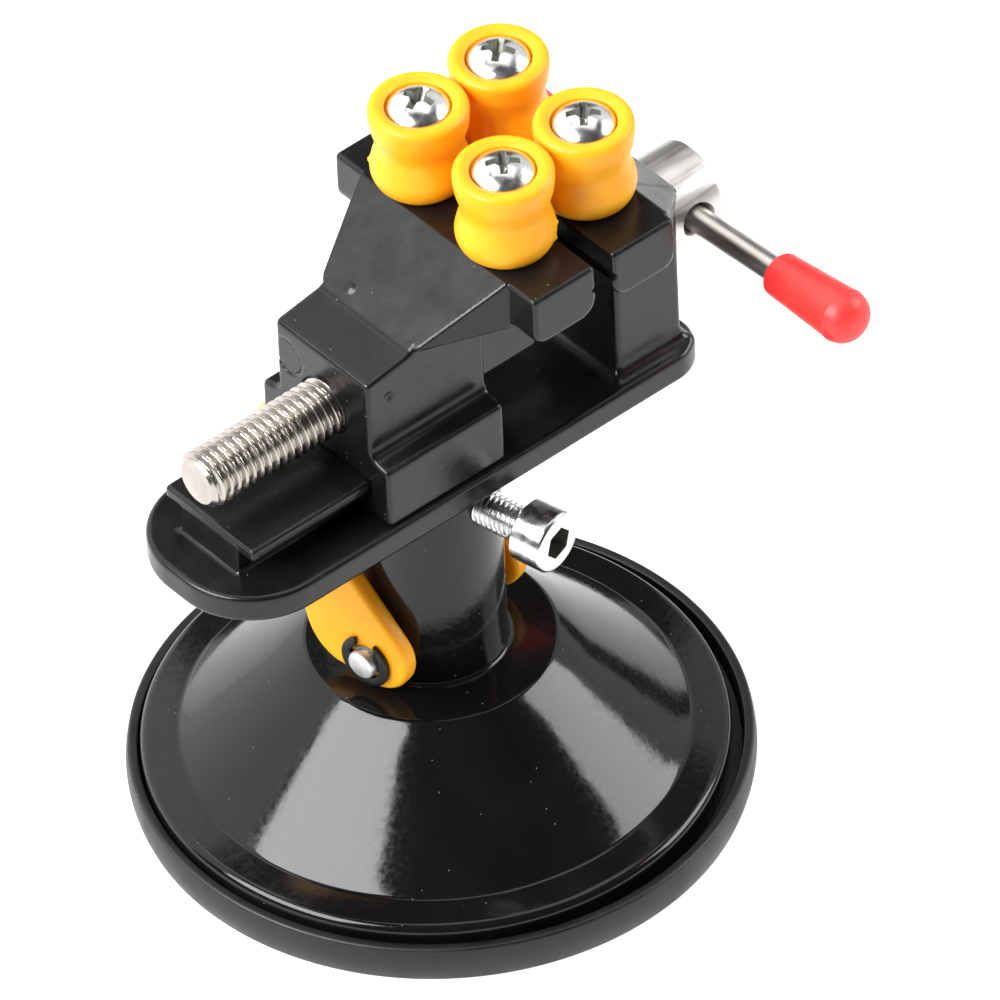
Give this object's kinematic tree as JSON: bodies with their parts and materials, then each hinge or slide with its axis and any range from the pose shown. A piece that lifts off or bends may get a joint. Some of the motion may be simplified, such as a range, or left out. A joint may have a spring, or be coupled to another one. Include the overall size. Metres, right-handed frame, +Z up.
{
  "type": "watch case holder",
  "caption": "Small suction-base swivel vise with amber nylon pegs on its jaws for holding a watch case, with cam lever, lead screw and sliding bar",
  "frame": {"origin": "on the column's axis, at the suction pad's underside on the bench", "axes": "+Z up; +X along the vise from the lead screw's free end to the fixed jaw and its bar; +Y away from the lock screw's side"},
  "size_m": [0.0869, 0.0809, 0.1047],
  "materials": {
    "casting_black": "gloss black paint over a die casting",
    "dome_black": "very glossy black",
    "pad_rubber": "satin black rubber",
    "nylon_amber": "satin amber-yellow nylon",
    "zinc_plate": "bright zinc plate",
    "nickel_plate": "warm nickel plate",
    "clip_black": "black oxide spring steel",
    "cap_red": "soft red vinyl"
  },
  "bodies": {
    "base": {"base_dome": "dome_black", "suction_pad": "pad_rubber"},
    "head": {"vise_bed": "casting_black", "case_peg_3": "nylon_amber", "case_peg_4": "nylon_amber", "peg_screw_3": "zinc_plate", "peg_screw_4": "zinc_plate"},
    "screw": {"lead_screw": "nickel_plate", "screw_clip": "clip_black"},
    "jaw": {"moving_jaw": "casting_black", "case_peg_1": "nylon_amber", "case_peg_2": "nylon_amber", "peg_screw_1": "zinc_plate", "peg_screw_2": "zinc_plate"},
    "bar": {"tommy_bar": "nickel_plate", "bar_cap_near": "cap_red", "bar_cap_far": "cap_red"},
    "lift": {"pad_stem": "pad_rubber", "lever_axle": "zinc_plate", "axle_clip_near": "clip_black", "axle_clip_far": "clip_black"},
    "lever": {"cam_lever": "nylon_amber"},
    "lock": {"lock_screw": "zinc_plate"}
  },
  "joints": [
    {"name": "head_swivel", "type": "hinge", "parent": "base", "child": "head", "pos_m": [0, 0, 0.0555], "axis": [0, 0, 1], "continuous": true},
    {"name": "screw_turn", "type": "hinge", "parent": "head", "child": "screw", "pos_m": [0.0294, 0, 0.07235], "axis": [1, 0, 0], "range_deg": [0, 5184]},
    {"name": "jaw_slide", "type": "slide", "parent": "head", "child": "jaw", "axis": [-1, 0, 0], "range_m": [0, 0.018]},
    {"name": "bar_slide", "type": "slide", "parent": "screw", "child": "bar", "axis": [0, -0.9969, 0.0785], "range_m": [-0.0153, 0.0153]},
    {"name": "axle_lift", "type": "slide", "parent": "base", "child": "lift", "axis": [0, 0, 1], "range_m": [0, 0.0037]},
    {"name": "lever_turn", "type": "hinge", "parent": "lift", "child": "lever", "pos_m": [0, 0, 0.0286], "axis": [-0.9781, -0.2079, 0], "range_deg": [0, 75]},
    {"name": "lock_screw_turn", "type": "hinge", "parent": "base", "child": "lock", "pos_m": [0.00364, -0.01712, 0.05045], "axis": [0.2079, -0.9781, 0], "range_deg": [0, 720]}
  ],
  "couplings": [
    {"joint": "screw_turn", "follows": "jaw_slide", "rad_per_m": 5026.5},
    {"joint": "axle_lift", "follows": "lever_turn", "m_per_rad": 0.0028266}
  ]
}
